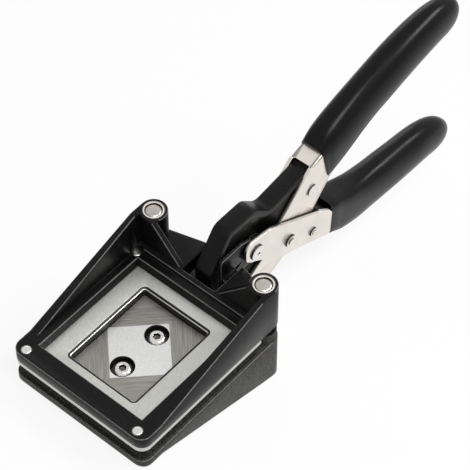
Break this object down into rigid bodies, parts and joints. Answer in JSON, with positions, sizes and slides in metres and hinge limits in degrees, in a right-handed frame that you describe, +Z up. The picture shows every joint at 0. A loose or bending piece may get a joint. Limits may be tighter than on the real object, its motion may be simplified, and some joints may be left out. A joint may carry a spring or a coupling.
{
  "type": "photo cutter",
  "caption": "Pliers-type die cutter for passport prints: squeezing the sprung handles draws a framed die down guide posts over a fixed punch",
  "frame": {"origin": "On the surface that the tool stands on, straight below the middle of the die opening", "axes": "+X to the right, seen from the jaws' front edge looking back to the handles, +Y from the jaws back along the handles, +Z up"},
  "size_m": [0.0716, 0.2504, 0.1172],
  "materials": {
    "black_casting": "semi-gloss black enamel on a casting",
    "die_steel": "satin ground steel",
    "ground_steel": "ground tool steel",
    "bright_steel": "polished steel",
    "spring_steel": "drawn wire",
    "nickel_sheet": "satin nickel plate",
    "black_grip": "glossy dipped vinyl",
    "black_foam": "granular cellular rubber"
  },
  "bodies": {
    "base": {"base_frame": "black_casting", "guide_post_left": "bright_steel", "guide_post_right": "bright_steel", "post_spring_left": "spring_steel", "post_spring_right": "spring_steel", "punch_block": "ground_steel", "punch_screws": "bright_steel", "stripper_pad": "black_foam", "upper_handle": "nickel_sheet", "upper_grip": "black_grip", "handle_rivet": "nickel_sheet", "frame_rivets": "nickel_sheet", "pivot_pin": "nickel_sheet"},
    "jaw": {"upper_jaw": "black_casting", "die_plate": "die_steel", "die_rivets": "bright_steel", "guide_bush_left": "bright_steel", "guide_bush_right": "bright_steel"},
    "lower_handle": {"lever_plate_left": "nickel_sheet", "lever_plate_right": "nickel_sheet", "lever_core": "black_casting", "lower_grip": "black_grip", "core_rivet_pin": "nickel_sheet", "nose_pin": "nickel_sheet"}
  },
  "joints": [
    {"name": "handle_squeeze", "type": "hinge", "parent": "base", "child": "lower_handle", "pos_m": [0, 0.08587, 0.03639], "axis": [1, 0, 0], "range_deg": [0, 9.86], "stiffness_Nm_per_rad": 3.727, "springref_deg": -12.32},
    {"name": "jaw_slide", "type": "slide", "parent": "base", "child": "jaw", "axis": [0, 0.249, -0.9685], "range_m": [0, 0.004], "deforming": ["post_spring_left", "post_spring_right", "stripper_pad"]}
  ],
  "couplings": [
    {"joint": "jaw_slide", "follows": "handle_squeeze", "m_per_rad": 0.023241}
  ]
}
